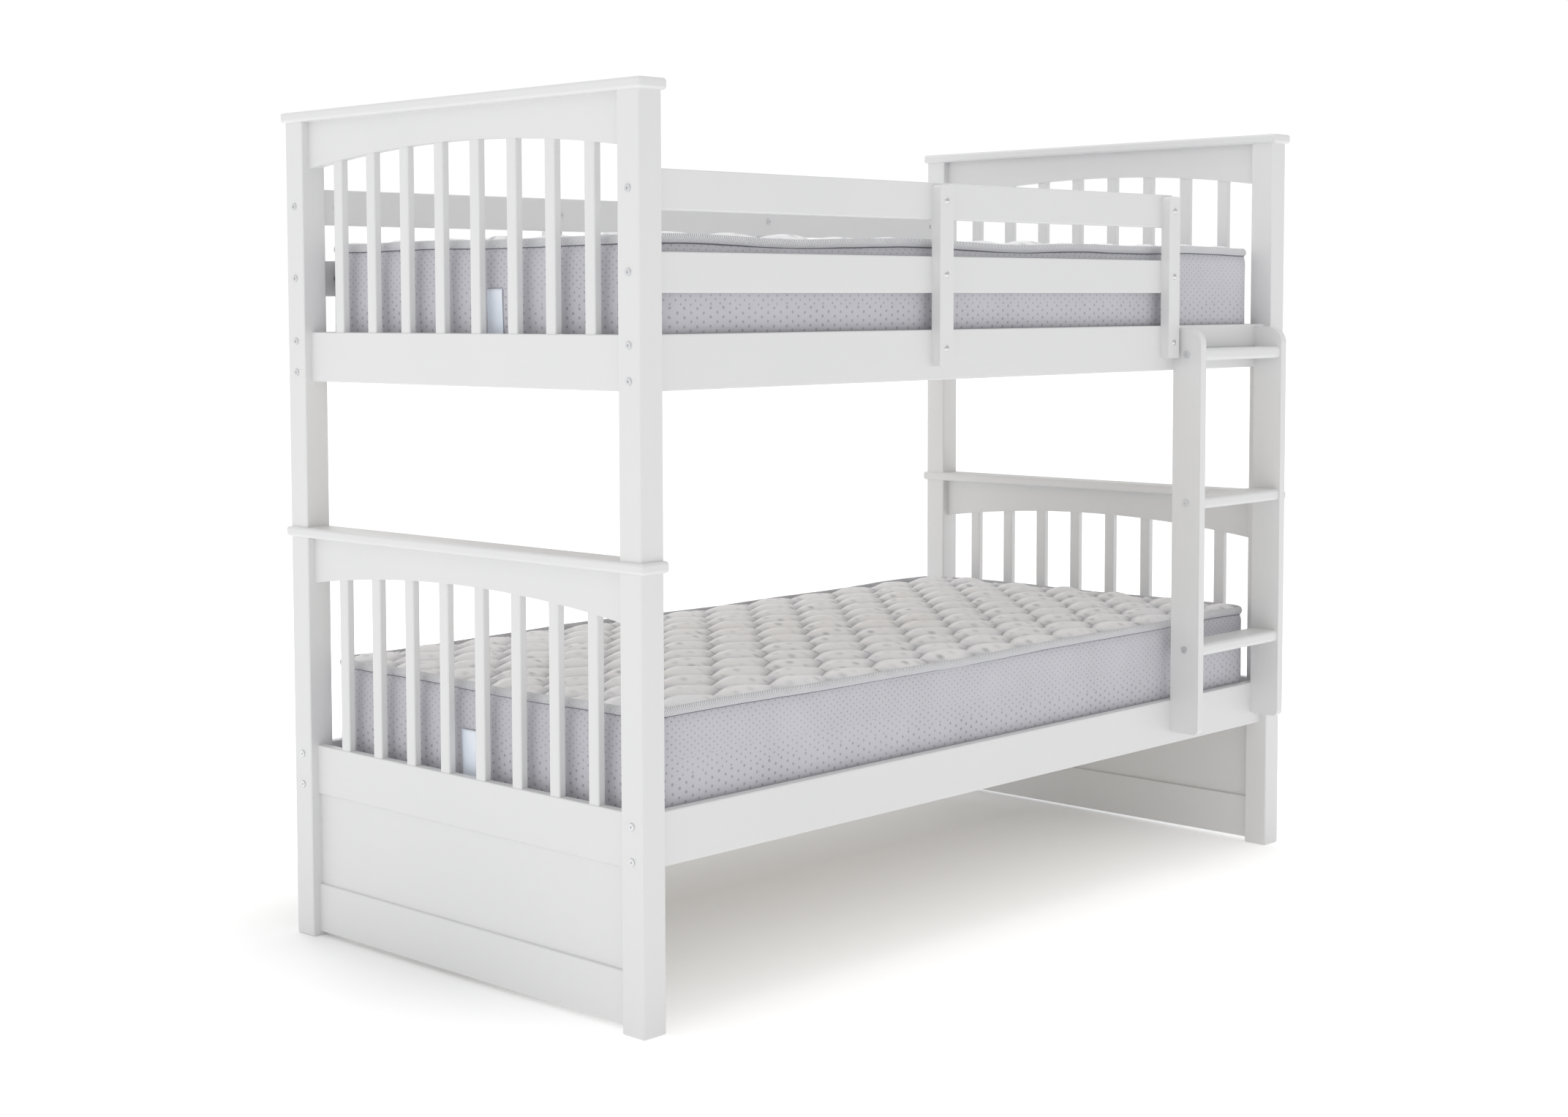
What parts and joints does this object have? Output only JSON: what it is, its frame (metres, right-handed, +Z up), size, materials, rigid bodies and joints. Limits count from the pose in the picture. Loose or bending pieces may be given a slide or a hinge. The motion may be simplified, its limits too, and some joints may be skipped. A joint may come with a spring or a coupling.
{
  "type": "bunk bed with ladder",
  "caption": "White painted wooden bunk bed with slatted arched ends, guard rails round the upper bed, a fixed vertical ladder at the front and two quilted mattresses.",
  "frame": {"origin": "on the floor, at the middle of the bed's outline seen from above", "axes": "+X along the bed from its left end to its right end, where the ladder is; +Y from the ladder side to the back; +Z up"},
  "size_m": [2.025, 1.0456, 1.606],
  "materials": {
    "painted_wood": "satin white paint",
    "bare_pine": "planed, unpainted",
    "dowel_beech": "fluted pegs, unpainted",
    "zinc_steel": "zinc plated",
    "bright_steel": "bright nickel",
    "mattress_fabric": "quilted and printed knit"
  },
  "bodies": {
    "lower_bed": {"lower_arch_rail_left": "painted_wood", "lower_arch_rail_right": "painted_wood", "lower_barrel_nuts": "zinc_steel", "lower_base_slats": "bare_pine", "lower_cap_left": "painted_wood", "lower_cap_right": "painted_wood", "lower_dowels": "dowel_beech", "lower_end_panel_left": "painted_wood", "lower_end_panel_right": "painted_wood", "lower_end_rail_left": "painted_wood", "lower_end_rail_right": "painted_wood", "lower_end_slats_left": "painted_wood", "lower_end_slats_right": "painted_wood", "lower_kick_rail_left": "painted_wood", "lower_kick_rail_right": "painted_wood", "lower_ledgers": "bare_pine", "lower_post_back_left": "painted_wood", "lower_post_back_right": "painted_wood", "lower_post_front_left": "painted_wood", "lower_post_front_right": "painted_wood", "lower_rail_bolts": "zinc_steel", "lower_side_rail_back": "painted_wood", "lower_side_rail_front": "painted_wood", "stacking_pins": "zinc_steel"},
    "upper_bed": {"guard_back_mid_board": "painted_wood", "guard_back_top_board": "painted_wood", "guard_back_uprights": "painted_wood", "guard_bolts": "bright_steel", "guard_front_mid_board": "painted_wood", "guard_front_top_board": "painted_wood", "guard_front_upright_left": "painted_wood", "guard_front_upright_right": "painted_wood", "guard_nuts": "zinc_steel", "ladder_bolts": "zinc_steel", "ladder_step_bottom": "painted_wood", "ladder_step_middle": "painted_wood", "ladder_step_top": "painted_wood", "ladder_stringer_left": "painted_wood", "ladder_stringer_right": "painted_wood", "upper_arch_rail_left": "painted_wood", "upper_arch_rail_right": "painted_wood", "upper_barrel_nuts": "zinc_steel", "upper_base_slats": "bare_pine", "upper_cap_left": "painted_wood", "upper_cap_right": "painted_wood", "upper_dowels": "dowel_beech", "upper_end_rail_left": "painted_wood", "upper_end_rail_right": "painted_wood", "upper_end_slats_left": "painted_wood", "upper_end_slats_right": "painted_wood", "upper_ledgers": "bare_pine", "upper_post_back_left": "painted_wood", "upper_post_back_right": "painted_wood", "upper_post_front_left": "painted_wood", "upper_post_front_right": "painted_wood", "upper_rail_bolts": "zinc_steel", "upper_side_rail_back": "painted_wood", "upper_side_rail_front": "painted_wood"},
    "lower_mattress": {"lower_mattress": "mattress_fabric"},
    "upper_mattress": {"upper_mattress": "mattress_fabric"}
  },
  "joints": [
    {"name": "upper_bed_lift", "type": "slide", "parent": "lower_bed", "child": "upper_bed", "axis": [0, 0, 1], "range_m": [0, 0.06]},
    {"name": "upper_mattress_lift", "type": "slide", "parent": "upper_bed", "child": "upper_mattress", "axis": [0, 0, 1], "range_m": [0, 0.12]},
    {"name": "lower_mattress_lift", "type": "slide", "parent": "lower_bed", "child": "lower_mattress", "axis": [0, 0, 1], "range_m": [0, 0.12]}
  ]
}
